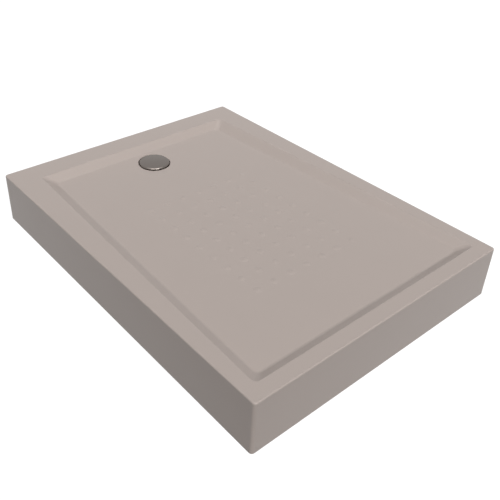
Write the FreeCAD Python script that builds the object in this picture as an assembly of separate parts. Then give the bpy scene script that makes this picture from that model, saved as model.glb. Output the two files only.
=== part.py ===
"""Low acrylic shower tray with an integral skirt, a dished floor and a 90 mm waste.

Millimetres. The origin is at floor level under the middle of the tray, +Z is up,
+X runs along the long side, and the waste is near the -X end.
"""
import FreeCAD, Part
import math
import os
from FreeCAD import Vector

# ---------------------------------------------------------------- driving dimensions
# Overall size, at the foot of the skirt
LENGTH = 1200.0
WIDTH = 900.0
HEIGHT = 160.0

# Moulded shell
SHELL_THICKNESS = 5.0
SKIRT_DRAFT = 2.5              # each side leans in by this much over the height
SKIRT_CORNER_RADIUS = 9.0      # upright corners, seen from above
LEAST_CORNER_RADIUS = 1.0      # inside corners, where the thickness leaves none
RIM_OUTER_ROUND = 4.0
RIM_INNER_ROUND = 6.0

# Flat rim, which narrows towards the far end along both long sides
RIM_AT_DRAIN_END = 85.0
RIM_AT_FAR_END = 44.0
SIDE_RIM_NEAR_DRAIN = 84.0
SIDE_RIM_NEAR_FAR_END = 40.0

# Basin: depths are below the rim, slopes are measured from level
DEPTH_AT_DRAIN_END = 21.0
DEPTH_AT_FAR_END = 17.0
FLOOR_DISH = 5.5               # extra fall along the middle, towards the waste
DISH_RISE_SHARE = 0.11         # share of the floor's length over which the dish deepens
DRAIN_END_SLOPE = 36.0
FAR_END_SLOPE = 31.0
SIDE_SLOPE = 30.0
BASIN_CORNER_RADIUS = 14.0
BASIN_FILLET = 15.0            # where the walls run into the floor
FLOOR_OVERRUN = 0.09           # share of its length that the floor's surface runs on past each end
FLOOR_STATIONS = 27            # even spacing keeps the interpolated surface true
FLOOR_LINES = 6

# Anti-slip bumps
BUMP_COLUMNS = 9
BUMP_ROWS = 7
BUMP_PITCH = 60.0
BUMP_CENTRE_X = 68.0
BUMP_RADIUS = 11.5
BUMP_HEIGHT = 1.3
BUMP_ROOT = 1.5                # how far a bump's cap is carried on into the floor

# Waste recess in the floor
DRAIN_X = -416.0
RECESS_RADIUS = 54.0
RECESS_DEPTH = 11.0            # below the floor beside it
RECESS_FLOOR_ROUND = 3.0
WASTE_HOLE_RADIUS = 45.5

# Backing and base board
BACKING_THICKNESS = 2.5        # least thickness of the glass-fibre layer
BACKING_LAP = 55.0             # how far the layer runs down inside the skirt
BACKING_CLEAR_OF_RECESS = 8.0
BOARD_THICKNESS = 15.0
BOARD_INSET = 10.0             # board edge to the edge of the level bed under the floor
BOARD_CORNER_RADIUS = 20.0
BOARD_CLEAR_OF_RECESS = 24.0

# Steel frame of square and flat tube
TUBE_WIDTH = 30.0
RAIL_HEIGHT = 20.0
CROSSBAR_HEIGHT = 30.0
TUBE_WALL = 1.5
TUBE_CORNER = 2.5
RAIL_FROM_SIDE = 200.0         # rail's middle to the side of the tray
FRAME_END_GAP = 19.0           # tube end to the outside of the skirt's foot
CROSSBAR_AT_DRAIN_END = 55.0   # end crossbar's middle to the end of the tray
CROSSBAR_AT_FAR_END = 52.0
CROSSBAR_MIDDLE_X = 20.0
CAP_PLATE = 3.0
CAP_PLUG = 12.0
CAP_FIT = 0.15

# Screws up into the board, and bolts between the two layers of tube
BOARD_SCREW_FROM_BOARD_END = 20.0
BOARD_SCREW_FROM_CROSSBAR = 110.0
BOARD_SCREW_RADIUS = 2.5
BOARD_SCREW_HEAD_RADIUS = 5.0
BOARD_SCREW_HEAD = 3.0
BOARD_SCREW_BITE = 12.0
FRAME_BOLT_RADIUS = 4.0
FRAME_BOLT_FLATS = 13.0
FRAME_BOLT_HEAD = 5.3
FRAME_NUT = 6.5
FRAME_BOLT_PAST_NUT = 2.0
HEX_CHAMFER_SLOPE = 30.0
FASTENER_ROOM = 0.3            # radial room of a screw or bolt in a plain hole
THREAD_ROOM = 0.05             # radial room where a plain shank stands for a thread

# Adjustable feet
FOOT_FROM_SIDE = 50.0          # foot axis to the side of the tray
FOOT_ROD_RADIUS = 6.0
FOOT_ROD_FIT = 0.06            # running room in the nuts
FOOT_ROD_ABOVE_CROSSBAR = 26.0
FOOT_ROD_CHAMFER = 1.2
FOOT_HEX_FLATS = 17.0
FOOT_HEX = 7.0
FOOT_HEX_ABOVE_PAD = 0.5
FOOT_PAD_RADIUS = 25.0
FOOT_PAD_EDGE = 5.0
FOOT_PAD_EDGE_ROUND = 1.5
FOOT_PAD_HUB_RADIUS = 11.0
FOOT_PAD_HEIGHT = 16.0
FOOT_PAD_SOLE = 6.0            # under the end of the rod
FOOT_RIBS = 6
FOOT_RIB_THICKNESS = 2.4
RIVET_NUT_FLANGE_RADIUS = 11.0
RIVET_NUT_FLANGE = 1.5
RIVET_NUT_RADIUS = 8.5
RIVET_NUT_LENGTH = 15.0
LOCK_NUT_FLATS = 18.0
LOCK_NUT = 9.0
ROD_ROOM_AT_TOP_WALL = 1.0

# Waste: flange, seals and cover
GASKET = 1.5
GASKET_BEHIND_HOLE = 0.8       # seals stand this far back from the hole in the tray
GASKET_BEHIND_FLANGE = 1.5     # and from the edge of the flange over them
FLANGE_GAP = 1.5               # flange to the wall of the recess
FLANGE_PLATE = 2.0
FLANGE_NECK_GAP = 1.0          # neck to the hole in the tray
FLANGE_WALL = 2.5
LEDGE_BELOW_FLANGE = 9.0
LEDGE_THICKNESS = 2.5
COVER_GAP_ROUND = 2.5          # cover to the wall of the recess
COVER_GAP_UNDER = 3.0          # water gap between flange and cover
COVER_EDGE = 11.0
COVER_EDGE_ROUND = 5.0
COVER_CROWN = 2.0
COVER_WALL = 1.5
STEM_WALL = 2.0
STEM_FIT = 0.3
STEM_WINDOWS = 6
STEM_WINDOW_SHARE = 0.6        # open share of the stem's wall
STEM_BAND = 3.0                # solid band over the windows
STEM_REACH = 8.0               # into the insert
STEM_SHOULDER = 1.8            # thickness of the ring that sits on the insert's lip
STEM_SHOULDER_SET_BACK = 1.0   # its edge to the edge of that lip

# Waste: trap body, lift-out insert and outlet
TRAP_FLANGE_RADIUS = 58.0
TRAP_FLANGE = 4.0
TRAP_WALL = 3.0
TRAP_COLLAR_RADIUS = 46.0      # inside
TRAP_CUP_RADIUS = 41.0         # inside
TRAP_FLOOR_GAP = 8.0
TRAP_BOTTOM_ROUND = 8.0
TRAP_SHELF_BELOW_FLANGE = 8.0
TRAP_SHELF = 6.0
TRAP_GUSSETS = 8
TRAP_GUSSET_THICKNESS = 2.5
TRAP_BOSS_WALL = 2.6
TRAP_BOSS_GAP = 2.0            # boss to the ledge that its screw pulls down
INSERT_RADIUS = 28.5
INSERT_WALL = 2.5
INSERT_LIP_BEARING = 2.0
INSERT_LIP_THICKNESS = 2.0
INSERT_DIP_GAP = 9.0           # foot of the insert above the inside of the trap
INSERT_CROSS = 2.5
INSERT_CROSS_DEPTH = 7.0
INSERT_CROSS_BELOW_STEM = 2.0
O_RING_RADIUS = 1.8
O_RING_STANDS_OUT = 2.3        # past the insert's tube
O_RING_FIT = 0.06
RING_PASS_ROOM = 0.5           # ledge to the ring as the insert lifts out
FLANGE_SCREWS = 4
FLANGE_SCREW_CIRCLE = 38.0
FLANGE_SCREW_RADIUS = 2.0
FLANGE_SCREW_HEAD_RADIUS = 3.8
FLANGE_SCREW_HEAD = 2.2
FLANGE_SCREW_END_ROOM = 1.0    # screw's end to the underside of the trap's shelf
PIPE_RADIUS = 20.0             # drain pipe that the outlet takes
PIPE_FIT = 0.3
PIPE_UNDER_RAIL = 3.0          # room between the pipe and the rail it passes under
PIPE_ENTRY = 25.0              # length of the socket
PIPE_STOP = 1.5                # step that the pipe's end meets
OUTLET_WALL = 4.5
OUTLET_REACH = 104.0           # mouth of the socket from the waste's axis
SEAL_THICKNESS = 5.0
SEAL_WASHER = 1.5
OUTLET_NUT_WALL = 3.0
OUTLET_NUT_GRIP = 12.0         # how far the nut runs back over the socket
OUTLET_NUT_LIP = 3.0
OUTLET_NUT_LUGS = 10
OUTLET_NUT_LUG_RADIUS = 2.5

# Modelling
OVERCUT = 1.0                  # how far a cutter runs on past what it cuts
OVERLAP = 1.0                  # how far joined shapes run into each other
NEAR = 0.01                    # heights and places that count as the same
FOOT_EDGE_REACH = 1.5          # how near to the floor's line an edge of the basin's foot is

# ---------------------------------------------------------------- worked-out places
HALF_LENGTH = LENGTH / 2
HALF_WIDTH = WIDTH / 2
RAIL_Y = HALF_WIDTH - RAIL_FROM_SIDE
TOP_HALF_LENGTH = HALF_LENGTH - SKIRT_DRAFT
TOP_HALF_WIDTH = HALF_WIDTH - SKIRT_DRAFT

RIM_X_DRAIN = -TOP_HALF_LENGTH + RIM_AT_DRAIN_END
RIM_X_FAR = TOP_HALF_LENGTH - RIM_AT_FAR_END
RIM_Y_DRAIN = TOP_HALF_WIDTH - SIDE_RIM_NEAR_DRAIN
RIM_Y_FAR = TOP_HALF_WIDTH - SIDE_RIM_NEAR_FAR_END


def run_of(slope):
    """Level distance that a wall of this slope covers for each millimetre of depth."""
    return 1 / math.tan(math.radians(slope))


def lean_of(slope):
    """Level thickness of a wall of this slope for each millimetre of its thickness."""
    return 1 / math.sin(math.radians(slope))


FOOT_X_DRAIN = RIM_X_DRAIN + DEPTH_AT_DRAIN_END * run_of(DRAIN_END_SLOPE)
FOOT_X_FAR = RIM_X_FAR - DEPTH_AT_FAR_END * run_of(FAR_END_SLOPE)


def along_floor(x):
    """0 at the foot of the drain-end wall, 1 at the foot of the far-end wall."""
    return (x - FOOT_X_DRAIN) / (FOOT_X_FAR - FOOT_X_DRAIN)


def floor_depth(x, y):
    """Depth of the floor below the rim: level along every wall, dished towards the waste."""
    u = along_floor(x)
    edge = DEPTH_AT_DRAIN_END + (DEPTH_AT_FAR_END - DEPTH_AT_DRAIN_END) * u
    rim_half = RIM_Y_DRAIN + (RIM_Y_FAR - RIM_Y_DRAIN) * (x - RIM_X_DRAIN) / (RIM_X_FAR - RIM_X_DRAIN)
    foot_half = rim_half - edge * run_of(SIDE_SLOPE)
    rise = min(max(u / DISH_RISE_SHARE, 0.0), 1.0)
    eased = rise * rise * (3 - 2 * rise)
    return edge + FLOOR_DISH * eased * (1 - u) * (1 - (y / foot_half) ** 2)


RECESS_LIP_DEPTH = floor_depth(DRAIN_X + RECESS_RADIUS, 0.0)
RECESS_Z = HEIGHT - RECESS_LIP_DEPTH - RECESS_DEPTH
RECESS_UNDERSIDE = RECESS_Z - SHELL_THICKNESS

BOARD_TOP = HEIGHT - RECESS_LIP_DEPTH - SHELL_THICKNESS - BACKING_THICKNESS
RAIL_TOP = BOARD_TOP - BOARD_THICKNESS
RAIL_BOTTOM = RAIL_TOP - RAIL_HEIGHT
CROSSBAR_BOTTOM = RAIL_BOTTOM - CROSSBAR_HEIGHT

CROSSBAR_X = {
    "drain_end": -HALF_LENGTH + CROSSBAR_AT_DRAIN_END,
    "middle": CROSSBAR_MIDDLE_X,
    "far_end": HALF_LENGTH - CROSSBAR_AT_FAR_END,
}
FOOT_Y = HALF_WIDTH - FOOT_FROM_SIDE
FOOT_PLACES = [(x, side * FOOT_Y) for x in CROSSBAR_X.values() for side in (-1, 1)]

FLANGE_TOP = RECESS_Z + GASKET + FLANGE_PLATE
FLANGE_RADIUS = RECESS_RADIUS - FLANGE_GAP
FLANGE_NECK_RADIUS = WASTE_HOLE_RADIUS - FLANGE_NECK_GAP
LEDGE_TOP = FLANGE_TOP - LEDGE_BELOW_FLANGE
LEDGE_BOTTOM = LEDGE_TOP - LEDGE_THICKNESS
GASKET_INNER_RADIUS = WASTE_HOLE_RADIUS + GASKET_BEHIND_HOLE

TRAP_TOP = RECESS_UNDERSIDE - GASKET
SHELF_TOP = TRAP_TOP - TRAP_FLANGE - TRAP_SHELF_BELOW_FLANGE
SHELF_BOTTOM = SHELF_TOP - TRAP_SHELF
TRAP_INSIDE_BOTTOM = TRAP_FLOOR_GAP + TRAP_WALL

INSERT_BORE = INSERT_RADIUS - INSERT_WALL
INSERT_TOP = LEDGE_TOP + INSERT_LIP_THICKNESS
INSERT_BOTTOM = TRAP_INSIDE_BOTTOM + INSERT_DIP_GAP
O_RING_REACH = INSERT_RADIUS + O_RING_STANDS_OUT
O_RING_Z = (SHELF_TOP + SHELF_BOTTOM) / 2
SHELF_BORE_RADIUS = O_RING_REACH + O_RING_FIT
LEDGE_INNER_RADIUS = O_RING_REACH + RING_PASS_ROOM
INSERT_LIP_RADIUS = LEDGE_INNER_RADIUS + INSERT_LIP_BEARING

COVER_RADIUS = RECESS_RADIUS - COVER_GAP_ROUND
COVER_BOTTOM = FLANGE_TOP + COVER_GAP_UNDER
COVER_SHOULDER = COVER_BOTTOM + COVER_EDGE
COVER_TOP = COVER_SHOULDER + COVER_CROWN
STEM_RADIUS = INSERT_BORE - STEM_FIT
STEM_BOTTOM = INSERT_TOP - STEM_REACH

OUTLET_Z = RAIL_BOTTOM - PIPE_UNDER_RAIL - PIPE_RADIUS
SOCKET_RADIUS = PIPE_RADIUS + PIPE_FIT
OUTLET_RADIUS = SOCKET_RADIUS + OUTLET_WALL
WATERWAY_RADIUS = PIPE_RADIUS - PIPE_STOP


# ---------------------------------------------------------------- shape helpers
def rounded_outline(corners, radius, z):
    """Closed wire through four corners, each rounded by one radius."""
    count = len(corners)
    cuts = []
    for i in range(count):
        here = Vector(corners[i][0], corners[i][1], z)
        before = Vector(corners[i - 1][0], corners[i - 1][1], z) - here
        after = Vector(corners[(i + 1) % count][0], corners[(i + 1) % count][1], z) - here
        before.normalize()
        after.normalize()
        half_angle = before.getAngle(after) / 2
        setback = radius / math.tan(half_angle)
        inward = (before + after).normalize()
        middle = here + inward * (radius / math.sin(half_angle) - radius)
        cuts.append((here + before * setback, middle, here + after * setback))
    edges = []
    for i in range(count):
        start, middle, end = cuts[i]
        edges.append(Part.Arc(start, middle, end).toShape())
        edges.append(Part.makeLine(end, cuts[(i + 1) % count][0]))
    return Part.Wire(edges)


def trapezoid(x0, x1, half0, half1, radius, z):
    """Rounded outline that is half0 wide each side at x0 and half1 at x1."""
    return rounded_outline([(x0, -half0), (x1, -half1), (x1, half1), (x0, half0)], radius, z)


def between(lower, upper):
    """Solid with straight sides between two outlines."""
    return Part.makeLoft([lower, upper], True, True)


def disc(radius, bottom, top, x=0.0, y=0.0):
    """Upright round bar."""
    return Part.makeCylinder(radius, top - bottom, Vector(x, y, bottom))


def ring(inner, outer, bottom, top, x=0.0, y=0.0):
    """Upright round bar with a hole through it."""
    return disc(outer, bottom, top, x, y).cut(disc(inner, bottom - OVERCUT, top + OVERCUT, x, y))


def hexagon(flats, bottom, top, x=0.0, y=0.0):
    """Upright six-sided bar, measured across its flats."""
    reach = flats / math.sqrt(3)
    points = [Vector(x + reach * math.cos(math.radians(60 * i)),
                     y + reach * math.sin(math.radians(60 * i)), bottom) for i in range(7)]
    return Part.Face(Part.makePolygon(points)).extrude(Vector(0, 0, top - bottom))


def box(x0, x1, y0, y1, z0, z1):
    """Block between two corners."""
    return Part.makeBox(x1 - x0, y1 - y0, z1 - z0, Vector(x0, y0, z0))


def turned(profile, x=0.0, y=0.0):
    """Solid turned about an upright axis from (radius, height) points and arcs.

    An entry of three points is an arc through the point before it, its own
    middle point and its own end point.
    """
    edges = []
    at = Vector(profile[0][0], 0, profile[0][1])
    for entry in profile[1:] + [profile[0]]:
        if isinstance(entry[0], tuple):
            middle = Vector(entry[0][0], 0, entry[0][1])
            end = Vector(entry[1][0], 0, entry[1][1])
            edges.append(Part.Arc(at, middle, end).toShape())
        else:
            end = Vector(entry[0], 0, entry[1])
            edges.append(Part.makeLine(at, end))
        at = end
    face = Part.Face(Part.Wire(edges))
    solid = face.revolve(Vector(0, 0, 0), Vector(0, 0, 1), 360)
    solid.translate(Vector(x, y, 0))
    return solid


def quarter(cx, cz, radius, start, end):
    """Arc entry for turned(), about (cx, cz), from one angle to another in degrees."""
    half = math.radians((start + end) / 2)
    stop = math.radians(end)
    return ((cx + radius * math.cos(half), cz + radius * math.sin(half)),
            (cx + radius * math.cos(stop), cz + radius * math.sin(stop)))


def edges_where(shape, test):
    """Edges whose middle point passes a test."""
    return [edge for edge in shape.Edges if test(edge.CenterOfMass)]


def group(solids):
    """Separate solids kept together in one node."""
    return Part.makeCompound(solids)


# ---------------------------------------------------------------- moulded shell
def skirt_block(inset, top):
    """Outside of the tray, moved inwards by inset, from floor level to top."""
    def outline(z):
        lean = SKIRT_DRAFT * z / HEIGHT + inset
        radius = max(SKIRT_CORNER_RADIUS - inset, LEAST_CORNER_RADIUS)
        half_x = HALF_LENGTH - lean
        half_y = HALF_WIDTH - lean
        return trapezoid(-half_x, half_x, half_y, half_y, radius, z)
    return between(outline(0.0), outline(top))


def basin_walls(growth, bottom):
    """Sloping sides of the basin, moved outwards by growth, from bottom up to the rim."""
    def outline(z):
        depth = HEIGHT - z
        x0 = RIM_X_DRAIN + depth * run_of(DRAIN_END_SLOPE) - growth * lean_of(DRAIN_END_SLOPE)
        x1 = RIM_X_FAR - depth * run_of(FAR_END_SLOPE) + growth * lean_of(FAR_END_SLOPE)
        side = depth * run_of(SIDE_SLOPE) - growth * lean_of(SIDE_SLOPE)
        taper = (RIM_Y_FAR - RIM_Y_DRAIN) / (RIM_X_FAR - RIM_X_DRAIN)
        half0 = RIM_Y_DRAIN + taper * (x0 - RIM_X_DRAIN) - side
        half1 = RIM_Y_DRAIN + taper * (x1 - RIM_X_DRAIN) - side
        return trapezoid(x0, x1, half0, half1, BASIN_CORNER_RADIUS + growth, z)
    return between(outline(bottom), outline(HEIGHT))


def above_floor(drop):
    """Everything over the dished floor, which is lowered by drop."""
    x_step = (FOOT_X_FAR - FOOT_X_DRAIN) * (1 + 2 * FLOOR_OVERRUN) / (FLOOR_STATIONS - 1)
    x_start = FOOT_X_DRAIN - (FOOT_X_FAR - FOOT_X_DRAIN) * FLOOR_OVERRUN
    y_step = WIDTH / (FLOOR_LINES - 1)
    surface = Part.BSplineSurface()
    rows = []
    for station in range(FLOOR_STATIONS):
        x = x_start + x_step * station
        ys = [-HALF_WIDTH + y_step * line for line in range(FLOOR_LINES)]
        rows.append([Vector(x, y, HEIGHT - floor_depth(x, y) - drop) for y in ys])
    surface.interpolate(rows)
    return surface.toShape().extrude(Vector(0, 0, HEIGHT))


def basin(growth):
    """The basin as a solid, grown on every side by growth, with its filleted foot."""
    deepest = HEIGHT - 2 * (DEPTH_AT_DRAIN_END + FLOOR_DISH) - growth
    hollow = basin_walls(growth, deepest).common(above_floor(growth))

    def at_foot(point):
        return abs(point.z + growth + floor_depth(point.x, point.y) - HEIGHT) < FOOT_EDGE_REACH

    foot = edges_where(hollow, at_foot)
    return hollow.makeFillet(BASIN_FILLET + growth, foot)


def waste_recess(growth):
    """Round recess for the waste, grown by growth, up to the height of the rim."""
    radius = RECESS_RADIUS + growth
    bottom = RECESS_Z - growth
    round_ = RECESS_FLOOR_ROUND + growth
    return turned([(0, bottom), (radius - round_, bottom),
                   quarter(radius - round_, bottom + round_, round_, -90, 0),
                   (radius, HEIGHT), (0, HEIGHT)], DRAIN_X)


def bump_caps():
    """Low round caps in a grid, each sunk a little into the floor."""
    ball = (BUMP_RADIUS ** 2 + BUMP_HEIGHT ** 2) / (2 * BUMP_HEIGHT)
    foot = math.sqrt(ball ** 2 - (ball - BUMP_HEIGHT - BUMP_ROOT) ** 2)
    middle = foot / 2
    middle_z = BUMP_HEIGHT - ball + math.sqrt(ball ** 2 - middle ** 2)
    cap = turned([(0, -BUMP_ROOT), (foot, -BUMP_ROOT), ((middle, middle_z), (0, BUMP_HEIGHT))])
    caps = []
    for column in range(BUMP_COLUMNS):
        for row in range(BUMP_ROWS):
            x = BUMP_CENTRE_X + (column - (BUMP_COLUMNS - 1) / 2) * BUMP_PITCH
            y = (row - (BUMP_ROWS - 1) / 2) * BUMP_PITCH
            placed = cap.copy()
            placed.translate(Vector(x, y, HEIGHT - floor_depth(x, y)))
            caps.append(placed)
    return caps


def tray_shell():
    outside = skirt_block(0.0, HEIGHT)
    hollow = skirt_block(SHELL_THICKNESS, HEIGHT - SHELL_THICKNESS)
    under = hollow.cut(basin(SHELL_THICKNESS)).cut(waste_recess(SHELL_THICKNESS))
    shell = outside.cut(basin(0.0)).cut(waste_recess(0.0)).cut(under)
    shell = shell.cut(disc(WASTE_HOLE_RADIUS, 0, HEIGHT, DRAIN_X))

    def on_rim(point):
        return abs(point.z - HEIGHT) < NEAR

    def outer(point):
        far_x = abs(point.x) > TOP_HALF_LENGTH - SKIRT_CORNER_RADIUS
        far_y = abs(point.y) > TOP_HALF_WIDTH - SKIRT_CORNER_RADIUS
        return on_rim(point) and (far_x or far_y)

    shell = shell.makeFillet(RIM_OUTER_ROUND, edges_where(shell, outer))
    inner = edges_where(shell, lambda point: on_rim(point) and not outer(point))
    shell = shell.makeFillet(RIM_INNER_ROUND, inner)
    return shell.fuse(bump_caps())


def glass_fibre_backing():
    def hollow_under(inset, basin_solid):
        return skirt_block(inset, HEIGHT - inset).cut(basin_solid)

    outer_skin = hollow_under(SHELL_THICKNESS, basin(SHELL_THICKNESS))
    total = SHELL_THICKNESS + BACKING_THICKNESS
    inner_skin = hollow_under(total, basin_walls(total, BOARD_TOP))
    layer = outer_skin.cut(inner_skin)
    lap_end = HEIGHT - SHELL_THICKNESS - BACKING_LAP
    layer = layer.cut(box(-LENGTH, LENGTH, -WIDTH, WIDTH, -OVERCUT, lap_end))
    clear = RECESS_RADIUS + SHELL_THICKNESS + BACKING_CLEAR_OF_RECESS
    return layer.cut(disc(clear, 0, HEIGHT, DRAIN_X))


def board_ends():
    """X of the board's two ends, inside the level bed under the floor."""
    growth = SHELL_THICKNESS + BACKING_THICKNESS
    bed = HEIGHT - BOARD_TOP
    x0 = RIM_X_DRAIN + bed * run_of(DRAIN_END_SLOPE) - growth * lean_of(DRAIN_END_SLOPE)
    x1 = RIM_X_FAR - bed * run_of(FAR_END_SLOPE) + growth * lean_of(FAR_END_SLOPE)
    return x0 + BOARD_INSET, x1 - BOARD_INSET


def rail_screw_places():
    """X of the screws that hold each rail to the board, clear of the middle crossbar."""
    x0, x1 = board_ends()
    return [x0 + BOARD_SCREW_FROM_BOARD_END, CROSSBAR_MIDDLE_X - BOARD_SCREW_FROM_CROSSBAR,
            CROSSBAR_MIDDLE_X + BOARD_SCREW_FROM_CROSSBAR, x1 - BOARD_SCREW_FROM_BOARD_END]


def base_board():
    x0, x1 = board_ends()
    growth = SHELL_THICKNESS + BACKING_THICKNESS
    side = (HEIGHT - BOARD_TOP) * run_of(SIDE_SLOPE) - growth * lean_of(SIDE_SLOPE) + BOARD_INSET
    outline = trapezoid(x0, x1, RIM_Y_DRAIN - side, RIM_Y_FAR - side, BOARD_CORNER_RADIUS, RAIL_TOP)
    board = Part.Face(outline).extrude(Vector(0, 0, BOARD_THICKNESS))
    board = board.cut(disc(RECESS_RADIUS + BOARD_CLEAR_OF_RECESS, 0, HEIGHT, DRAIN_X))
    pilot = BOARD_SCREW_RADIUS + THREAD_ROOM
    for x in rail_screw_places():
        for y in (-RAIL_Y, RAIL_Y):
            board = board.cut(disc(pilot, RAIL_TOP - OVERCUT, RAIL_TOP + BOARD_SCREW_BITE, x, y))
    return board


# ---------------------------------------------------------------- steel frame
def tube(length, height):
    """Rounded rectangular tube along X, centred on it and standing on z = 0."""
    half = TUBE_WIDTH / 2
    outside = box(-length / 2, length / 2, -half, half, 0, height)
    corners = edges_where(outside, lambda point: abs(point.x) < NEAR)
    outside = outside.makeFillet(TUBE_CORNER, corners)
    wall = TUBE_WALL
    return outside.cut(box(-length, length, wall - half, half - wall, wall, height - wall))


def tube_end_cap(height):
    """Push-in cap for a tube's +X end: its plate starts at x = 0."""
    half = TUBE_WIDTH / 2
    plate = box(0, CAP_PLATE, -half, half, 0, height)
    corners = edges_where(plate, lambda point: abs(point.x - CAP_PLATE / 2) < NEAR)
    plate = plate.makeFillet(TUBE_CORNER, corners)
    gap = TUBE_WALL + CAP_FIT
    return plate.fuse(box(-CAP_PLUG, 0, gap - half, half - gap, gap, height - gap))


def placed(shape, x, y, z, turn=0.0):
    """Copy turned about the upright axis, then moved."""
    copy = shape.copy()
    copy.rotate(Vector(0, 0, 0), Vector(0, 0, 1), turn)
    copy.translate(Vector(x, y, z))
    return copy


RAIL_LENGTH = LENGTH - 2 * (FRAME_END_GAP + CAP_PLATE)
CROSSBAR_LENGTH = WIDTH - 2 * (FRAME_END_GAP + CAP_PLATE)


def rail(y):
    shape = placed(tube(RAIL_LENGTH, RAIL_HEIGHT), 0, y, RAIL_BOTTOM)
    screw_hole = BOARD_SCREW_RADIUS + FASTENER_ROOM
    for x in rail_screw_places():
        shape = shape.cut(disc(screw_hole, RAIL_BOTTOM - OVERCUT, RAIL_TOP + OVERCUT, x, y))
    bolt_hole = FRAME_BOLT_RADIUS + FASTENER_ROOM
    for x in CROSSBAR_X.values():
        shape = shape.cut(disc(bolt_hole, RAIL_BOTTOM - OVERCUT, RAIL_BOTTOM + TUBE_WALL + OVERCUT, x, y))
    return shape


def crossbar(x):
    shape = placed(tube(CROSSBAR_LENGTH, CROSSBAR_HEIGHT), x, 0, CROSSBAR_BOTTOM, 90)
    low = CROSSBAR_BOTTOM - OVERCUT
    over_low_wall = CROSSBAR_BOTTOM + TUBE_WALL + OVERCUT
    high = RAIL_BOTTOM + OVERCUT
    rod_hole = FOOT_ROD_RADIUS + ROD_ROOM_AT_TOP_WALL
    for side in (-1, 1):
        shape = shape.cut(disc(FRAME_BOLT_RADIUS + FASTENER_ROOM, low, high, x, side * RAIL_Y))
        shape = shape.cut(disc(RIVET_NUT_RADIUS + THREAD_ROOM, low, over_low_wall, x, side * FOOT_Y))
        shape = shape.cut(disc(rod_hole, over_low_wall, high, x, side * FOOT_Y))
    return shape


def rail_end_caps():
    cap = tube_end_cap(RAIL_HEIGHT)
    return group([placed(cap, side * RAIL_LENGTH / 2, y, RAIL_BOTTOM, 0 if side > 0 else 180)
                  for side in (-1, 1) for y in (-RAIL_Y, RAIL_Y)])


def crossbar_end_caps():
    cap = tube_end_cap(CROSSBAR_HEIGHT)
    return group([placed(cap, x, side * CROSSBAR_LENGTH / 2, CROSSBAR_BOTTOM, 90 * side)
                  for x in CROSSBAR_X.values() for side in (-1, 1)])


def board_screws():
    screw = disc(BOARD_SCREW_RADIUS, -OVERLAP, RAIL_HEIGHT + BOARD_SCREW_BITE)
    screw = screw.fuse(disc(BOARD_SCREW_HEAD_RADIUS, -BOARD_SCREW_HEAD, 0))
    rim = edges_where(screw, lambda point: abs(point.z + BOARD_SCREW_HEAD) < NEAR)
    screw = screw.makeFillet(BOARD_SCREW_HEAD / 2, rim)
    return group([placed(screw, x, y, RAIL_BOTTOM)
                  for x in rail_screw_places() for y in (-RAIL_Y, RAIL_Y)])


def chamfered_hexagon(flats, height):
    """Hexagon from z = 0 whose corners are turned off at both ends."""
    reach = flats / math.sqrt(3)
    land = flats / 2
    drop = (reach - land) * math.tan(math.radians(HEX_CHAMFER_SLOPE))
    round_bar = turned([(0, 0), (land, 0), (reach, drop),
                        (reach, height - drop), (land, height), (0, height)])
    return hexagon(flats, 0, height).common(round_bar)


def frame_bolts():
    end = CROSSBAR_HEIGHT + TUBE_WALL + FRAME_NUT + FRAME_BOLT_PAST_NUT
    bolt = placed(chamfered_hexagon(FRAME_BOLT_FLATS, FRAME_BOLT_HEAD), 0, 0, -FRAME_BOLT_HEAD)
    bolt = bolt.fuse(disc(FRAME_BOLT_RADIUS, -OVERLAP, end))
    return group([placed(bolt, x, y, CROSSBAR_BOTTOM)
                  for x in CROSSBAR_X.values() for y in (-RAIL_Y, RAIL_Y)])


def frame_nuts():
    nut = chamfered_hexagon(FRAME_BOLT_FLATS, FRAME_NUT)
    nut = nut.cut(disc(FRAME_BOLT_RADIUS + THREAD_ROOM, -OVERCUT, FRAME_NUT + OVERCUT))
    return group([placed(nut, x, y, RAIL_BOTTOM + TUBE_WALL)
                  for x in CROSSBAR_X.values() for y in (-RAIL_Y, RAIL_Y)])


# ---------------------------------------------------------------- adjustable feet
def rivet_nuts():
    bore = FOOT_ROD_RADIUS + FOOT_ROD_FIT
    nut = ring(bore, RIVET_NUT_FLANGE_RADIUS, -RIVET_NUT_FLANGE, 0)
    nut = nut.fuse(ring(bore, RIVET_NUT_RADIUS, -RIVET_NUT_FLANGE, RIVET_NUT_LENGTH - RIVET_NUT_FLANGE))
    return group([placed(nut, x, y, CROSSBAR_BOTTOM) for x, y in FOOT_PLACES])


def lock_nuts():
    nut = chamfered_hexagon(LOCK_NUT_FLATS, LOCK_NUT)
    nut = nut.cut(disc(FOOT_ROD_RADIUS + FOOT_ROD_FIT, -OVERCUT, LOCK_NUT + OVERCUT))
    bottom = CROSSBAR_BOTTOM - RIVET_NUT_FLANGE - LOCK_NUT
    return group([placed(nut, x, y, bottom) for x, y in FOOT_PLACES])


def foot_rod(x, y):
    top = RAIL_BOTTOM + FOOT_ROD_ABOVE_CROSSBAR
    chamfer = FOOT_ROD_CHAMFER
    radius = FOOT_ROD_RADIUS
    foot = FOOT_PAD_SOLE
    rod = turned([(0, foot), (radius - chamfer, foot), (radius, foot + chamfer),
                  (radius, top - chamfer), (radius - chamfer, top), (0, top)])
    hex_bottom = FOOT_PAD_HEIGHT + FOOT_HEX_ABOVE_PAD
    rod = rod.fuse(placed(chamfered_hexagon(FOOT_HEX_FLATS, FOOT_HEX), 0, 0, hex_bottom))
    return placed(rod, x, y, 0)


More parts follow.
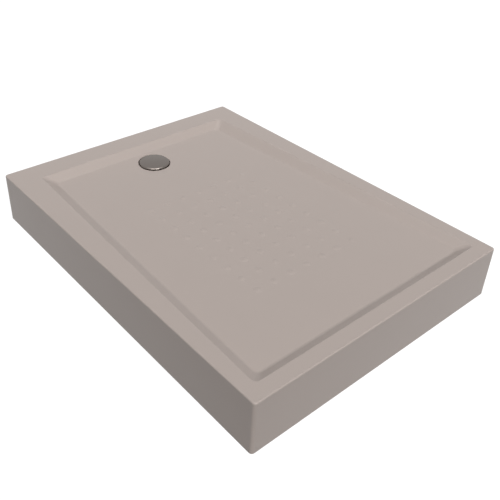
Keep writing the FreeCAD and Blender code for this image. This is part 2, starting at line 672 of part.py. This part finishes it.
def foot_pad(x, y):
    edge = FOOT_PAD_RADIUS
    round_ = FOOT_PAD_EDGE_ROUND
    pad = turned([(0, 0), (edge, 0), (edge, FOOT_PAD_EDGE - round_),
                  quarter(edge - round_, FOOT_PAD_EDGE - round_, round_, 0, 90),
                  (FOOT_PAD_HUB_RADIUS, FOOT_PAD_EDGE), (FOOT_PAD_HUB_RADIUS, FOOT_PAD_HEIGHT),
                  (0, FOOT_PAD_HEIGHT)])
    half = FOOT_RIB_THICKNESS / 2
    rib_start = FOOT_ROD_RADIUS + half
    rib_end = edge - 2 * round_
    rib_top = FOOT_PAD_HEIGHT - round_
    corners = [(rib_start, FOOT_PAD_EDGE / 2), (rib_end, FOOT_PAD_EDGE / 2), (rib_end, FOOT_PAD_EDGE),
               (FOOT_PAD_HUB_RADIUS, rib_top), (rib_start, rib_top)]
    points = [Vector(r, -half, z) for r, z in corners + corners[:1]]
    rib = Part.Face(Part.makePolygon(points)).extrude(Vector(0, FOOT_RIB_THICKNESS, 0))
    pad = pad.fuse([placed(rib, 0, 0, 0, 360 / FOOT_RIBS * i) for i in range(FOOT_RIBS)])
    pad = pad.cut(disc(FOOT_ROD_RADIUS + FOOT_ROD_FIT, FOOT_PAD_SOLE, FOOT_PAD_HEIGHT + OVERCUT))
    return placed(pad.removeSplitter(), x, y, 0)


# ---------------------------------------------------------------- waste
def flange_gasket():
    outer = FLANGE_RADIUS - GASKET_BEHIND_FLANGE
    return ring(GASKET_INNER_RADIUS, outer, RECESS_Z, RECESS_Z + GASKET, DRAIN_X)


def trap_gasket():
    outer = TRAP_FLANGE_RADIUS - GASKET_BEHIND_FLANGE
    return ring(GASKET_INNER_RADIUS, outer, TRAP_TOP, RECESS_UNDERSIDE, DRAIN_X)


def flange_screw_places():
    for i in range(FLANGE_SCREWS):
        angle = math.radians(360 / FLANGE_SCREWS * (i + 0.5))
        yield DRAIN_X + FLANGE_SCREW_CIRCLE * math.cos(angle), FLANGE_SCREW_CIRCLE * math.sin(angle)


def waste_flange():
    plate = FLANGE_TOP - FLANGE_PLATE
    neck = FLANGE_NECK_RADIUS
    throat = FLANGE_NECK_RADIUS - FLANGE_WALL
    round_ = FLANGE_PLATE / 2
    flange = turned([(LEDGE_INNER_RADIUS, LEDGE_BOTTOM), (neck, LEDGE_BOTTOM), (neck, plate),
                     (FLANGE_RADIUS, plate), (FLANGE_RADIUS, FLANGE_TOP - round_),
                     quarter(FLANGE_RADIUS - round_, FLANGE_TOP - round_, round_, 0, 90),
                     (throat, FLANGE_TOP), (throat, LEDGE_TOP), (LEDGE_INNER_RADIUS, LEDGE_TOP)], DRAIN_X)
    for x, y in flange_screw_places():
        hole = disc(FLANGE_SCREW_RADIUS + FASTENER_ROOM, LEDGE_BOTTOM - OVERCUT, LEDGE_TOP + OVERCUT, x, y)
        flange = flange.cut(hole)
    return flange


def flange_screws():
    head_top = LEDGE_TOP + FLANGE_SCREW_HEAD
    screw = disc(FLANGE_SCREW_RADIUS, SHELF_BOTTOM + FLANGE_SCREW_END_ROOM, LEDGE_TOP + OVERLAP)
    head = disc(FLANGE_SCREW_HEAD_RADIUS, LEDGE_TOP, head_top)
    rim = edges_where(head, lambda point: abs(point.z - head_top) < NEAR)
    screw = screw.fuse(head.makeFillet(FLANGE_SCREW_HEAD / 2, rim))
    return group([placed(screw, x, y, 0) for x, y in flange_screw_places()])


def laid(shape):
    """A shape built upright about Z, laid along +Y on the outlet's axis."""
    copy = shape.copy()
    copy.rotate(Vector(0, 0, 0), Vector(1, 0, 0), -90)
    copy.translate(Vector(DRAIN_X, 0, OUTLET_Z))
    return copy


def trap_body():
    cup = TRAP_CUP_RADIUS + TRAP_WALL
    collar = TRAP_COLLAR_RADIUS + TRAP_WALL
    flange_bottom = TRAP_TOP - TRAP_FLANGE
    low = TRAP_FLOOR_GAP
    outer_round = TRAP_BOTTOM_ROUND
    inner_round = TRAP_BOTTOM_ROUND - TRAP_WALL
    body = turned([
        (0, low), (cup - outer_round, low),
        quarter(cup - outer_round, low + outer_round, outer_round, -90, 0),
        (cup, SHELF_BOTTOM), (collar, SHELF_BOTTOM), (collar, flange_bottom),
        (TRAP_FLANGE_RADIUS, flange_bottom), (TRAP_FLANGE_RADIUS, TRAP_TOP),
        (TRAP_COLLAR_RADIUS, TRAP_TOP), (TRAP_COLLAR_RADIUS, SHELF_TOP),
        (SHELF_BORE_RADIUS, SHELF_TOP), (SHELF_BORE_RADIUS, SHELF_BOTTOM),
        (TRAP_CUP_RADIUS, SHELF_BOTTOM), (TRAP_CUP_RADIUS, TRAP_INSIDE_BOTTOM + inner_round),
        quarter(TRAP_CUP_RADIUS - inner_round, TRAP_INSIDE_BOTTOM + inner_round, inner_round, 0, -90),
        (0, TRAP_INSIDE_BOTTOM)], DRAIN_X)
    body = body.fuse(trap_gussets(collar - TRAP_WALL / 2, flange_bottom))
    boss = FLANGE_SCREW_RADIUS + TRAP_BOSS_WALL
    boss_top = LEDGE_BOTTOM - TRAP_BOSS_GAP
    body = body.fuse([disc(boss, SHELF_BOTTOM, boss_top, x, y) for x, y in flange_screw_places()])
    for x, y in flange_screw_places():
        body = body.cut(disc(FLANGE_SCREW_RADIUS + THREAD_ROOM, SHELF_BOTTOM, LEDGE_TOP, x, y))
    inside_cup = TRAP_CUP_RADIUS / 2
    outlet = laid(disc(OUTLET_RADIUS, inside_cup, OUTLET_REACH))
    body = body.fuse(outlet.cut(disc(TRAP_CUP_RADIUS, 0, SHELF_BOTTOM, DRAIN_X)))
    body = body.cut(laid(disc(WATERWAY_RADIUS, inside_cup, OUTLET_REACH + OVERCUT)))
    body = body.cut(laid(disc(SOCKET_RADIUS, OUTLET_REACH - PIPE_ENTRY, OUTLET_REACH + OVERCUT)))
    return body.removeSplitter()


def trap_gussets(start, flange_bottom):
    """Webs between the trap's collar and its flange, from inside the collar's wall."""
    end = TRAP_FLANGE_RADIUS - TRAP_WALL / 2
    corners = [(start, flange_bottom), (end, flange_bottom),
               (start + TRAP_WALL / 2, SHELF_TOP), (start, SHELF_TOP)]
    half = TRAP_GUSSET_THICKNESS / 2
    points = [Vector(r, -half, z) for r, z in corners + corners[:1]]
    gusset = Part.Face(Part.makePolygon(points)).extrude(Vector(0, TRAP_GUSSET_THICKNESS, 0))
    turn = 360 / TRAP_GUSSETS
    return [placed(gusset, DRAIN_X, 0, 0, turn * (i + 0.5)) for i in range(TRAP_GUSSETS)]


def outlet_seal():
    return laid(ring(SOCKET_RADIUS, OUTLET_RADIUS, OUTLET_REACH, OUTLET_REACH + SEAL_THICKNESS))


def outlet_washer():
    start = OUTLET_REACH + SEAL_THICKNESS
    return laid(ring(SOCKET_RADIUS, OUTLET_RADIUS, start, start + SEAL_WASHER))


def outlet_nut():
    bore = OUTLET_RADIUS + THREAD_ROOM
    outside = bore + OUTLET_NUT_WALL
    start = OUTLET_REACH - OUTLET_NUT_GRIP
    lip = OUTLET_REACH + SEAL_THICKNESS + SEAL_WASHER
    end = lip + OUTLET_NUT_LIP
    nut = disc(outside, start, end)
    lug = disc(OUTLET_NUT_LUG_RADIUS, start, end, outside)
    nut = nut.fuse([placed(lug, 0, 0, 0, 360 / OUTLET_NUT_LUGS * i) for i in range(OUTLET_NUT_LUGS)])
    nut = nut.cut(disc(bore, start - OVERCUT, lip))
    return laid(nut.cut(disc(SOCKET_RADIUS + PIPE_FIT, lip - OVERCUT, end + OVERCUT)))


def trap_insert():
    dip_tube = ring(INSERT_BORE, INSERT_RADIUS, INSERT_BOTTOM, INSERT_TOP, DRAIN_X)
    lip = ring(INSERT_BORE, INSERT_LIP_RADIUS, LEDGE_TOP, INSERT_TOP, DRAIN_X)
    bottom = STEM_BOTTOM - INSERT_CROSS_BELOW_STEM - INSERT_CROSS_DEPTH
    half = INSERT_CROSS / 2
    reach = INSERT_BORE + INSERT_WALL / 2
    bars = [box(DRAIN_X - reach, DRAIN_X + reach, -half, half, bottom, bottom + INSERT_CROSS_DEPTH),
            box(DRAIN_X - half, DRAIN_X + half, -reach, reach, bottom, bottom + INSERT_CROSS_DEPTH)]
    insert = dip_tube.fuse([lip] + bars)
    groove_floor = O_RING_REACH - 2 * O_RING_RADIUS - O_RING_FIT
    half_groove = O_RING_RADIUS + O_RING_FIT
    past = INSERT_RADIUS + OVERCUT
    return insert.cut(ring(groove_floor, past, O_RING_Z - half_groove, O_RING_Z + half_groove, DRAIN_X))


def insert_o_ring():
    return Part.makeTorus(O_RING_REACH - O_RING_RADIUS, O_RING_RADIUS, Vector(DRAIN_X, 0, O_RING_Z))


def crown_height(radius, shoulder):
    """Height of the cover's round crown over a radius, from the height of its shoulder."""
    span = COVER_RADIUS - COVER_EDGE_ROUND
    ball = (span ** 2 + COVER_CROWN ** 2) / (2 * COVER_CROWN)
    return shoulder + COVER_CROWN - ball + math.sqrt(ball ** 2 - radius ** 2)


def crown_arc(start, end, shoulder):
    """Arc entry for turned() along the crown, from one radius to another."""
    middle = (start + end) / 2
    return (middle, crown_height(middle, shoulder)), (end, crown_height(end, shoulder))


def dome_cover():
    edge = COVER_RADIUS
    turn_in = COVER_RADIUS - COVER_EDGE_ROUND
    round_z = COVER_SHOULDER - COVER_EDGE_ROUND
    inner_shoulder = COVER_SHOULDER - COVER_WALL
    return turned([(edge - COVER_WALL, COVER_BOTTOM), (edge, COVER_BOTTOM), (edge, round_z),
                   quarter(turn_in, round_z, COVER_EDGE_ROUND, 0, 90),
                   crown_arc(turn_in, 0, COVER_SHOULDER), (0, COVER_TOP - COVER_WALL),
                   crown_arc(0, turn_in, inner_shoulder),
                   quarter(turn_in, round_z, COVER_EDGE_ROUND - COVER_WALL, 90, 0)], DRAIN_X)


def cover_stem():
    outer = STEM_RADIUS
    inner = STEM_RADIUS - STEM_WALL
    stem = ring(inner, outer, STEM_BOTTOM, COVER_TOP, DRAIN_X)
    shoulder_radius = INSERT_LIP_RADIUS - STEM_SHOULDER_SET_BACK
    stem = stem.fuse(ring(inner, shoulder_radius, INSERT_TOP, INSERT_TOP + STEM_SHOULDER, DRAIN_X))
    under = COVER_SHOULDER - COVER_WALL
    past = COVER_TOP + OVERCUT
    cover_inside = turned([(0, under + COVER_CROWN), crown_arc(0, COVER_RADIUS / 2, under),
                           (COVER_RADIUS / 2, past), (0, past)], DRAIN_X)
    stem = stem.cut(cover_inside)
    width = 2 * math.pi * outer / STEM_WINDOWS * STEM_WINDOW_SHARE
    window = box(inner - STEM_WALL, outer + STEM_WALL, -width / 2, width / 2,
                 INSERT_TOP + STEM_SHOULDER, under - STEM_BAND)
    for i in range(STEM_WINDOWS):
        stem = stem.cut(placed(window, DRAIN_X, 0, 0, 360 / STEM_WINDOWS * i))
    return stem


# ---------------------------------------------------------------- the parts, one file each
def all_parts():
    parts = {
        "tray_shell": tray_shell(),
        "glass_fibre_backing": glass_fibre_backing(),
        "base_board": base_board(),
        "frame_rail_left": rail(-RAIL_Y),
        "frame_rail_right": rail(RAIL_Y),
        "rail_end_caps": rail_end_caps(),
        "crossbar_end_caps": crossbar_end_caps(),
        "board_screws": board_screws(),
        "frame_bolts": frame_bolts(),
        "frame_nuts": frame_nuts(),
        "rivet_nuts": rivet_nuts(),
        "lock_nuts": lock_nuts(),
        "waste_flange": waste_flange(),
        "flange_screws": flange_screws(),
        "flange_gasket": flange_gasket(),
        "trap_gasket": trap_gasket(),
        "trap_body": trap_body(),
        "trap_insert": trap_insert(),
        "insert_o_ring": insert_o_ring(),
        "dome_cover": dome_cover(),
        "cover_stem": cover_stem(),
        "outlet_seal": outlet_seal(),
        "outlet_washer": outlet_washer(),
        "outlet_nut": outlet_nut(),
    }
    for name, x in CROSSBAR_X.items():
        parts["crossbar_" + name] = crossbar(x)
    for number, (x, y) in enumerate(FOOT_PLACES, 1):
        parts["foot_%d_rod" % number] = foot_rod(x, y)
        parts["foot_%d_pad" % number] = foot_pad(x, y)
    return parts


if __name__ == "__main__":
    os.makedirs("parts", exist_ok=True)
    for name, shape in all_parts().items():
        shape.exportStep("parts/" + name + ".step")
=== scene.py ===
"""Shower tray: finishes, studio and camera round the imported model. Metres, +Z up."""
import math

import bmesh
import bpy
from bpy.props import FloatProperty, FloatVectorProperty, PointerProperty
from mathutils import Matrix, Vector

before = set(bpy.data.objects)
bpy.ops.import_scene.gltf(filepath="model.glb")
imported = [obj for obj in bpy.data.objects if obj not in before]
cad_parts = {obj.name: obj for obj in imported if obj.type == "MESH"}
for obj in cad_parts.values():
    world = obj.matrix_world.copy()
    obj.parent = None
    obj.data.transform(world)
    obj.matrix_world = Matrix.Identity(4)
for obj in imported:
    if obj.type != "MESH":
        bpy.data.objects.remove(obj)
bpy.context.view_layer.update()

bl_info = {
    "name": "Shower tray",
    "version": (1, 0, 0),
    "blender": (4, 5, 0),
    "location": "View3D > Sidebar > Shower tray",
    "description": "Finishes a packed shower tray and sets it in a plain studio",
    "category": "Object",
}

FLOOR_REACH = 30     # from the middle of the floor to its edges, in metres
CAMERA_REACH = 200   # how far the camera sees, in metres
# The floor is dark to the light it throws back, and glows only to what looks at it.
FLOOR_TONE = 0.15
FLOOR_GLOW = 0.9


# ---------------------------------------------------------------- settings a user would change
def colour_setting(name, description, default):
    return FloatVectorProperty(name=name, description=description, subtype="COLOR",
                               default=default, min=0, max=1)


class TrayFinishes(bpy.types.PropertyGroup):
    acrylic: colour_setting("Acrylic", "Colour of the moulded sheet", (0.43, 0.371, 0.341))
    acrylic_roughness: FloatProperty(
        name="Acrylic roughness", description="0 is a mirror, 1 is chalk", subtype="FACTOR",
        default=0.32, min=0, max=1)
    acrylic_shine: FloatProperty(
        name="Acrylic shine", description="How much the sheet mirrors; 0.5 is bare plastic",
        subtype="FACTOR", default=0.15, min=0, max=1)
    # painted shade: the cover's plating is set far darker than bright chrome, so that its reflections of the
    # white surround come out dim
    chrome: colour_setting("Chrome", "Colour of the waste cover's plating", (0.17, 0.148, 0.135))
    chrome_roughness: FloatProperty(
        name="Chrome roughness", description="0 is a mirror, 1 is chalk", subtype="FACTOR",
        default=0.12, min=0, max=1)
    frame_steel: colour_setting("Frame steel", "Colour of the galvanised tubes", (0.42, 0.44, 0.45))
    zinc: colour_setting("Zinc", "Colour of the plated screws, nuts and rods", (0.6, 0.6, 0.57))
    flange_steel: colour_setting("Flange steel", "Colour of the waste flange", (0.55, 0.54, 0.52))
    backing: colour_setting("Backing", "Colour of the glass fibre and its resin", (0.56, 0.57, 0.44))
    board: colour_setting("Board", "Colour of the chipboard", (0.42, 0.28, 0.14))
    trap_plastic: colour_setting("Trap", "Colour of the trap and its nut", (0.68, 0.68, 0.65))
    insert_plastic: colour_setting(
        "Insert", "Colour of the trap's insert and the cover's stem", (0.09, 0.095, 0.1))
    dark_plastic: colour_setting(
        "Pads and caps", "Colour of the feet's pads and the tubes' caps", (0.02, 0.02, 0.02))
    rubber: colour_setting("Seals", "Colour of the gaskets and seals", (0.02, 0.02, 0.02))


class StudioSettings(bpy.types.PropertyGroup):
    focal_length: FloatProperty(
        name="Focal length", description="In millimetres, on a 36 mm wide sensor",
        default=47.53, min=10, max=300)
    camera_place: FloatVectorProperty(
        name="Camera", description="Where the camera stands", subtype="TRANSLATION", unit="LENGTH",
        default=(1.2463, -1.0918, 1.2177))
    camera_azimuth: FloatProperty(
        name="Azimuth", description="Direction the camera looks in, seen from above",
        subtype="ANGLE", default=math.radians(139.15))
    camera_pitch: FloatProperty(
        name="Pitch", description="How far down the camera looks", subtype="ANGLE",
        default=math.radians(35.458))
    camera_roll: FloatProperty(
        name="Roll", description="How far the camera leans to one side", subtype="ANGLE",
        default=math.radians(1.774))
    camera_shift: FloatVectorProperty(
        name="Shift", description="How far the picture is moved over the lens axis, in picture widths",
        size=2, default=(0.0416, -0.0148))
    overhead_strength: FloatProperty(
        name="Overhead light", description="Strength of the light from above", default=1.15, min=0)
    key_strength: FloatProperty(
        name="Key light", description="Strength of the light on the short side", default=1.4, min=0)
    side_strength: FloatProperty(
        name="Side light", description="Strength of the light on the near corner", default=0.9, min=0)
    surround: FloatProperty(
        name="Surround", description="Strength of the light that comes from all round",
        default=0.1, min=0)


# ---------------------------------------------------------------- materials
def new_material(name):
    """A new material, its shader and its node tree."""
    material = bpy.data.materials.new(name)
    material.use_nodes = True
    return material, material.node_tree.nodes["Principled BSDF"], material.node_tree


def set_inputs(node, values):
    """Sets a node's sockets by their names."""
    for socket, value in values.items():
        node.inputs[socket].default_value = value


def over_piece(tree, node, stretch=(1, 1, 1)):
    """Lays a texture over the piece's own coordinates, in metres, drawn out along an axis."""
    place = tree.nodes.new("ShaderNodeTexCoord")
    mapping = tree.nodes.new("ShaderNodeMapping")
    set_inputs(mapping, {"Scale": stretch})
    tree.links.new(place.outputs["Object"], mapping.inputs["Vector"])
    tree.links.new(mapping.outputs["Vector"], node.inputs["Vector"])


def noise(tree, scale, detail=2.0, stretch=(1, 1, 1), distortion=0.0):
    """Soft noise; scale is in features per metre."""
    texture = tree.nodes.new("ShaderNodeTexNoise")
    set_inputs(texture, {"Scale": scale, "Detail": detail, "Distortion": distortion})
    over_piece(tree, texture, stretch)
    return texture.outputs["Fac"]


def cells(tree, scale, stretch=(1, 1, 1)):
    """A random tone for each of many irregular cells; scale is in cells per metre."""
    texture = tree.nodes.new("ShaderNodeTexVoronoi")
    set_inputs(texture, {"Scale": scale})
    over_piece(tree, texture, stretch)
    channels = tree.nodes.new("ShaderNodeSeparateColor")
    tree.links.new(texture.outputs["Color"], channels.inputs["Color"])
    return channels.outputs["Red"]


def blended(tree, first, second, share):
    """Two patterns in one, with this share of the second."""
    node = tree.nodes.new("ShaderNodeMix")
    node.inputs["Factor"].default_value = share
    tree.links.new(first, node.inputs["A"])
    tree.links.new(second, node.inputs["B"])
    return node.outputs["Result"]


def spread(tree, factor, low, high):
    """Maps a 0 to 1 pattern onto low to high."""
    node = tree.nodes.new("ShaderNodeMapRange")
    set_inputs(node, {"To Min": low, "To Max": high})
    tree.links.new(factor, node.inputs["Value"])
    return node.outputs["Result"]


def tinted(tree, factor, colour, contrast):
    """The colour, a little darker and lighter with a pattern."""
    node = tree.nodes.new("ShaderNodeMix")
    node.data_type = "RGBA"
    node.inputs["A"].default_value = [c * (1 - contrast) for c in colour] + [1]
    node.inputs["B"].default_value = [c * (1 + contrast) for c in colour] + [1]
    tree.links.new(factor, node.inputs["Factor"])
    return node.outputs["Result"]


def bump(tree, height, shader, strength, distance):
    """Gives the shader a relief that follows a pattern; distance is its height in metres."""
    node = tree.nodes.new("ShaderNodeBump")
    set_inputs(node, {"Strength": strength, "Distance": distance})
    tree.links.new(height, node.inputs["Height"])
    tree.links.new(node.outputs["Normal"], shader.inputs["Normal"])


def finish(name, colour, roughness, tone, relief=None, metallic=0.0, contrast=0.04, gloss=0.15,
           strength=0.3, depth=0.00003):
    """Surface whose tone and gloss follow one pattern and whose relief follows another.

    Contrast and gloss are the shares by which tone and roughness vary, depth is in metres.
    """
    material, shader, tree = new_material(name)
    pattern = tone(tree)
    set_inputs(shader, {"Metallic": metallic})
    tree.links.new(tinted(tree, pattern, colour, contrast), shader.inputs["Base Color"])
    low, high = roughness * (1 - gloss), min(roughness * (1 + gloss), 1.0)
    tree.links.new(spread(tree, pattern, low, high), shader.inputs["Roughness"])
    bump(tree, relief(tree) if relief else pattern, shader, strength, depth)
    return material


def moulded(name, colour, roughness):
    """Satin plastic: faint flow marks and a fine tool texture."""
    return finish(name, colour, roughness, lambda tree: noise(tree, 45, detail=3, distortion=0.6),
                  lambda tree: noise(tree, 1400), contrast=0.05, gloss=0.2, depth=0.00002)


def plated(name, colour, roughness):
    """Bright plating with a slightly cloudy tone."""
    return finish(name, colour, roughness, lambda tree: noise(tree, 160, detail=4, distortion=0.4),
                  lambda tree: noise(tree, 900),
                  metallic=1.0, contrast=0.10, gloss=0.35, depth=0.00001)


def spangled(name, colour, roughness):
    """Dull hot-dipped zinc, with its crystals and a few stains."""
    return finish(name, colour, roughness,
                  lambda tree: blended(tree, cells(tree, 130), noise(tree, 30, detail=4), 0.4),
                  lambda tree: noise(tree, 260, detail=3),
                  metallic=1.0, contrast=0.22, gloss=0.3, depth=0.00004)


def brushed(name, colour, roughness):
    """Steel with fine lines drawn along X."""
    return finish(name, colour, roughness,
                  lambda tree: noise(tree, 900, detail=3, stretch=(0.03, 1, 1)),
                  metallic=1.0, contrast=0.12, gloss=0.35, strength=0.4, depth=0.00002)


def flaked(name, colour, roughness):
    """Pressed wood chips, pale and dark, with the dust between them."""
    return finish(name, colour, roughness,
                  lambda tree: blended(tree, cells(tree, 260, stretch=(0.5, 1, 1)),
                                       noise(tree, 700, detail=4), 0.35),
                  lambda tree: noise(tree, 500, detail=4),
                  contrast=0.45, gloss=0.1, strength=0.6, depth=0.0003)


def sprayed(name, colour, roughness):
    """Chopped glass strands in resin, lumpy and partly glossy."""
    return finish(name, colour, roughness,
                  lambda tree: blended(
                      tree, noise(tree, 320, detail=5, stretch=(1, 0.25, 1), distortion=2.5),
                      noise(tree, 40, detail=3), 0.45),
                  lambda tree: blended(
                      tree, noise(tree, 420, detail=5, distortion=2.0), noise(tree, 60), 0.5),
                  contrast=0.22, gloss=0.35, strength=0.8, depth=0.0008)


def rubbery(name, colour, roughness):
    """Soft black seal with a bloom of dust."""
    return finish(name, colour, roughness, lambda tree: noise(tree, 90, detail=5),
                  lambda tree: noise(tree, 1800), contrast=0.35, gloss=0.12, strength=0.4, depth=0.00003)


# finish: (how it's made, the setting that holds its colour, roughness)
LOOKS = {
    "glass_fibre": (sprayed, "backing", 0.6),
    "chipboard": (flaked, "board", 0.85),
    "galvanised_steel": (spangled, "frame_steel", 0.5),
    "zinc_plated": (plated, "zinc", 0.3),
    "stainless": (brushed, "flange_steel", 0.3),
    "black_plastic": (moulded, "dark_plastic", 0.5),
    "seal_rubber": (rubbery, "rubber", 0.65),
    "trap_plastic": (moulded, "trap_plastic", 0.4),
    "insert_plastic": (moulded, "insert_plastic", 0.4),
}
# start of a node's name: its finish; the first start that fits holds
DRESSED = {
    "glass_fibre_backing": "glass_fibre",
    "base_board": "chipboard",
    "frame_rail": "galvanised_steel",
    "crossbar_end_caps": "black_plastic",
    "crossbar_": "galvanised_steel",
    "rail_end_caps": "black_plastic",
    "board_screws": "zinc_plated",
    "frame_bolts": "zinc_plated",
    "frame_nuts": "zinc_plated",
    "rivet_nuts": "zinc_plated",
    "lock_nuts": "zinc_plated",
    "waste_flange": "stainless",
    "flange_screws": "stainless",
    "flange_gasket": "seal_rubber",
    "trap_gasket": "seal_rubber",
    "insert_o_ring": "seal_rubber",
    "outlet_seal": "seal_rubber",
    "trap_body": "trap_plastic",
    "outlet_nut": "trap_plastic",
    "outlet_washer": "insert_plastic",
    "trap_insert": "insert_plastic",
    "cover_stem": "insert_plastic",
}


def dress(node, material):
    """Puts the material in the only slot of a node."""
    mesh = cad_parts[node].data
    mesh.materials.clear()
    mesh.materials.append(material)


def finish_of(node):
    """The finish of a node, by the start of its name; none for the tray and the cover."""
    if node.startswith("foot_"):
        return "zinc_plated" if node.endswith("rod") else "black_plastic"
    return next((look for start, look in DRESSED.items() if node.startswith(start)), None)


class TRAY_OT_finish_frame_and_waste(bpy.types.Operator):
    """Give every piece of the frame, the feet and the waste its finish"""
    bl_idname = "tray.finish_frame_and_waste"
    bl_label = "Frame, feet and waste"

    def execute(self, context):
        settings = context.scene.tray_finishes
        made = {name: make(name, tuple(getattr(settings, colour)), roughness)
                for name, (make, colour, roughness) in LOOKS.items()}
        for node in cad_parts:
            chosen = finish_of(node)
            if chosen:
                dress(node, made[chosen])
        return {"FINISHED"}


class TRAY_OT_finish_moulding(bpy.types.Operator):
    """Give the moulded tray its acrylic: smooth, with the slight waviness of a drawn sheet"""
    bl_idname = "tray.finish_moulding"
    bl_label = "Moulding"

    def execute(self, context):
        settings = context.scene.tray_finishes
        acrylic = finish("acrylic", tuple(settings.acrylic), settings.acrylic_roughness,
                         lambda tree: noise(tree, 9, detail=3), lambda tree: noise(tree, 110),
                         contrast=0.012, gloss=0.12, depth=0.00001)
        set_inputs(acrylic.node_tree.nodes["Principled BSDF"], {"Specular IOR Level": settings.acrylic_shine})
        dress("tray_shell", acrylic)
        return {"FINISHED"}


class TRAY_OT_finish_cover(bpy.types.Operator):
    """Give the waste cover its chrome, darkened with painted shade so that its reflections come out dim, and
    faintly clouded by water marks
    """
    bl_idname = "tray.finish_cover"
    bl_label = "Waste cover"

    def execute(self, context):
        settings = context.scene.tray_finishes
        # the chrome colour here carries painted shade that dims the cover's reflections
        dress("dome_cover", finish("chrome", tuple(settings.chrome), settings.chrome_roughness,
                                   lambda tree: noise(tree, 120, detail=4, distortion=0.8),
                                   metallic=1.0, contrast=0.05, gloss=0.3, depth=0.000005))
        return {"FINISHED"}


# ---------------------------------------------------------------- stage, lamps and camera
def add_sun(name, strength, azimuth, height, width):
    """Soft even light from a direction: angles in degrees, width is how wide its source looks."""
    light = bpy.data.lights.new(name, "SUN")
    light.energy = strength
    light.angle = math.radians(width)
    lamp = bpy.data.objects.new(name, light)
    bpy.context.scene.collection.objects.link(lamp)
    towards = Vector((math.cos(math.radians(azimuth)) * math.cos(math.radians(height)),
                      math.sin(math.radians(azimuth)) * math.cos(math.radians(height)),
                      math.sin(math.radians(height))))
    lamp.matrix_world = (-towards).to_track_quat("-Z", "Y").to_matrix().to_4x4()


def seen_directly(tree):
    """1 for what the camera, mirrors and glass see, 0 for what lights other surfaces."""
    path = tree.nodes.new("ShaderNodeLightPath")
    total = path.outputs["Is Camera Ray"]
    for ray in ("Is Glossy Ray", "Is Transmission Ray"):
        either = tree.nodes.new("ShaderNodeMath")
        either.operation = "MAXIMUM"
        tree.links.new(total, either.inputs[0])
        tree.links.new(path.outputs[ray], either.inputs[1])
        total = either.outputs[0]
    return total


def build_floor():
    """A pale floor that is white where nothing shades it."""
    mesh = bpy.data.meshes.new("floor")
    shape = bmesh.new()
    bmesh.ops.create_grid(shape, x_segments=1, y_segments=1, size=FLOOR_REACH)
    shape.to_mesh(mesh)
    shape.free()
    floor = bpy.data.objects.new("floor", mesh)
    bpy.context.scene.collection.objects.link(floor)
    material, shader, tree = new_material("floor")
    mesh.materials.append(material)
    set_inputs(shader, {"Base Color": (FLOOR_TONE, FLOOR_TONE, FLOOR_TONE, 1), "Roughness": 0.9})
    tree.links.new(spread(tree, seen_directly(tree), 0.0, FLOOR_GLOW), shader.inputs["Emission Strength"])
    set_inputs(shader, {"Emission Color": (1, 1, 1, 1)})


def build_surround(strength):
    """An even world: white to look at, dimmer where it lights the object."""
    world = bpy.data.worlds.new("surround")
    world.use_nodes = True
    bpy.context.scene.world = world
    tree = world.node_tree
    back = tree.nodes["Background"]
    set_inputs(back, {"Color": (1, 1, 1, 1)})
    tree.links.new(spread(tree, seen_directly(tree), strength, 1.0), back.inputs["Strength"])


class TRAY_OT_stage(bpy.types.Operator):
    """Set the floor, the lights, the surround and the camera"""
    bl_idname = "tray.stage"
    bl_label = "Stage"

    def execute(self, context):
        studio = context.scene.tray_studio
        context.scene.view_settings.view_transform = "Standard"
        build_floor()
        build_surround(studio.surround)
        add_sun("overhead", studio.overhead_strength, azimuth=0, height=88, width=60)
        add_sun("key", studio.key_strength, azimuth=350, height=42, width=25)
        add_sun("side", studio.side_strength, azimuth=310, height=48, width=25)

        camera = bpy.data.cameras.new("camera")
        camera.lens = studio.focal_length
        camera.shift_x, camera.shift_y = studio.camera_shift
        camera.clip_end = CAMERA_REACH
        eye = bpy.data.objects.new("camera", camera)
        context.scene.collection.objects.link(eye)
        turn = (Matrix.Rotation(studio.camera_azimuth - math.pi / 2, 4, "Z")
                @ Matrix.Rotation(math.pi / 2 - studio.camera_pitch, 4, "X")
                @ Matrix.Rotation(studio.camera_roll, 4, "Z"))
        eye.matrix_world = Matrix.Translation(studio.camera_place) @ turn
        context.scene.camera = eye
        return {"FINISHED"}


class TRAY_PT_panel(bpy.types.Panel):
    bl_label = "Shower tray"
    bl_idname = "TRAY_PT_panel"
    bl_space_type = "VIEW_3D"
    bl_region_type = "UI"
    bl_category = "Shower tray"

    def draw(self, context):
        for operator in STEPS:
            self.layout.operator(operator.bl_idname)


STEPS = (
    TRAY_OT_finish_frame_and_waste,
    TRAY_OT_finish_moulding,
    TRAY_OT_finish_cover,
    TRAY_OT_stage,
)
CLASSES = (TrayFinishes, StudioSettings) + STEPS + (TRAY_PT_panel,)


def register():
    for entry in CLASSES:
        bpy.utils.register_class(entry)
    bpy.types.Scene.tray_finishes = PointerProperty(type=TrayFinishes)
    bpy.types.Scene.tray_studio = PointerProperty(type=StudioSettings)


def unregister():
    del bpy.types.Scene.tray_studio
    del bpy.types.Scene.tray_finishes
    for entry in reversed(CLASSES):
        bpy.utils.unregister_class(entry)


def main():
    register()
    for operator in STEPS:
        group, name = operator.bl_idname.split(".")
        getattr(getattr(bpy.ops, group), name)()


if __name__ == "__main__":
    main()
